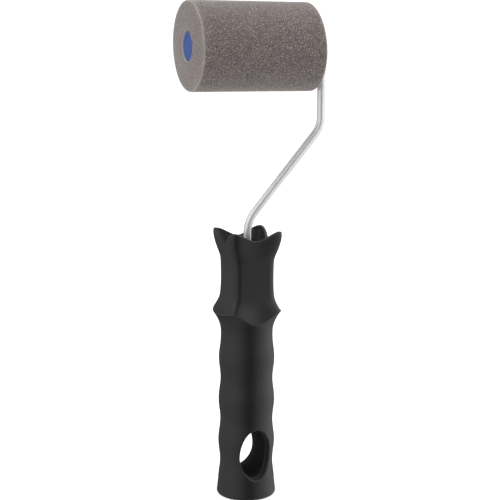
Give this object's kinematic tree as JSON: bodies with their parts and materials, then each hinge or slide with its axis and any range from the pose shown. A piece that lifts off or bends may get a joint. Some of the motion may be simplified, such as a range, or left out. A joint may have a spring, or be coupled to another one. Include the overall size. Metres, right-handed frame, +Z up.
{
  "type": "mini paint roller",
  "caption": "Mini paint roller: foam sleeve on a core that pushes onto a free-turning spindle, cranked steel wire frame and a moulded handle with a hanging hole.",
  "frame": {"origin": "centre of the handle's flat end face", "axes": "+Z up the handle towards the roller, +X along the roller's axis from its capped end to the end the wire enters, +Y across the handle along the hanging hole"},
  "size_m": [0.075, 0.0448, 0.2549],
  "materials": {
    "black_polypropylene": "satin moulded plastic with a soft sheen",
    "zinc_plated_steel": "bright zinc plating, drawn along the wire",
    "spring_steel": "plain stamped steel",
    "natural_nylon": "satin, slightly translucent",
    "white_acetal": "smooth satin",
    "grey_foam": "fine open-cell foam, matt",
    "blue_polypropylene": "satin moulded plastic"
  },
  "bodies": {
    "frame": {"handle_body": "black_polypropylene", "wire_frame": "zinc_plated_steel", "push_nut": "spring_steel", "thrust_washer": "spring_steel", "stop_collar": "spring_steel"},
    "spindle": {"spindle_sleeve": "natural_nylon", "outer_bearing": "white_acetal", "inner_bearing": "white_acetal"},
    "refill": {"foam_sleeve": "grey_foam", "core_tube": "blue_polypropylene", "core_end_cap": "blue_polypropylene"}
  },
  "joints": [
    {"name": "roller_spin", "type": "hinge", "parent": "frame", "child": "spindle", "pos_m": [0, 0, 0.2326], "axis": [1, 0, 0], "continuous": true},
    {"name": "refill_pull_off", "type": "slide", "parent": "spindle", "child": "refill", "axis": [-1, 0, 0], "range_m": [0, 0.07]}
  ]
}
